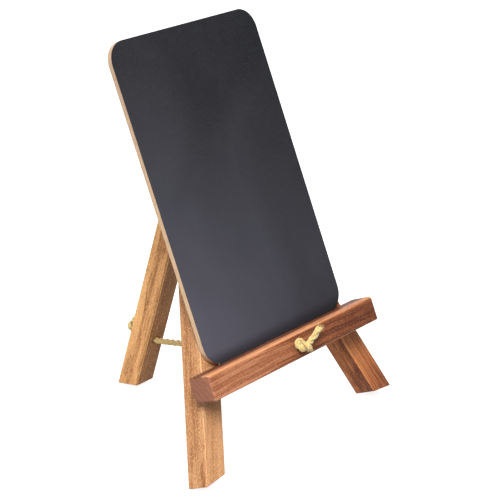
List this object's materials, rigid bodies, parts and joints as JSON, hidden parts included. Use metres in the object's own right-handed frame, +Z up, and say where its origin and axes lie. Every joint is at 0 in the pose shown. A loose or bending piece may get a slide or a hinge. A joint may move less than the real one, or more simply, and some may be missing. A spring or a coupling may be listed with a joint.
{
  "type": "menu chalkboard easel",
  "caption": "Counter-top menu easel: folding tripod of square acacia legs with a ledge, a loose chalkboard standing on it, a brass T-hinge and a knotted cord stay.",
  "frame": {"origin": "middle of the footprint, on the surface that the feet stand on", "axes": "+Z up; -Y is the front, where the chalkboard faces; +X is to the right as seen from the front"},
  "size_m": [0.1406, 0.1166, 0.1892],
  "materials": {
    "acacia": "oiled",
    "dark_acacia": "oiled",
    "chalkboard_black": "matte",
    "fibreboard": "raw",
    "cord": "twisted",
    "brass": "brushed",
    "screw_steel": "zinc plated"
  },
  "bodies": {
    "front_frame": {"left_front_leg": "acacia", "right_front_leg": "acacia", "left_ledge_screw": "screw_steel", "right_ledge_screw": "screw_steel", "ledge": "dark_acacia", "hinge_fixed_leaf": "brass", "hinge_pin": "brass", "hinge_left_screw": "brass", "hinge_right_screw": "brass", "cord": "cord", "front_knot": "cord", "front_tail": "cord"},
    "rear_stay": {"rear_leg": "acacia", "hinge_moving_leaf": "brass", "hinge_strap_screw_1": "brass", "hinge_strap_screw_2": "brass", "rear_knot": "cord", "rear_tail": "cord"},
    "menu_board": {"board_core": "fibreboard", "board_front_face": "chalkboard_black", "board_back_face": "chalkboard_black"}
  },
  "joints": [
    {"name": "rear_leg_fold", "type": "hinge", "parent": "front_frame", "child": "rear_stay", "pos_m": [0, 0.00703, 0.1215], "axis": [1, 0, 0], "range_deg": [-40, 0], "deforming": ["cord"]},
    {"name": "board_lift", "type": "slide", "parent": "front_frame", "child": "menu_board", "axis": [0, 0.3875, 0.9219], "range_m": [0, 0.1]}
  ]
}
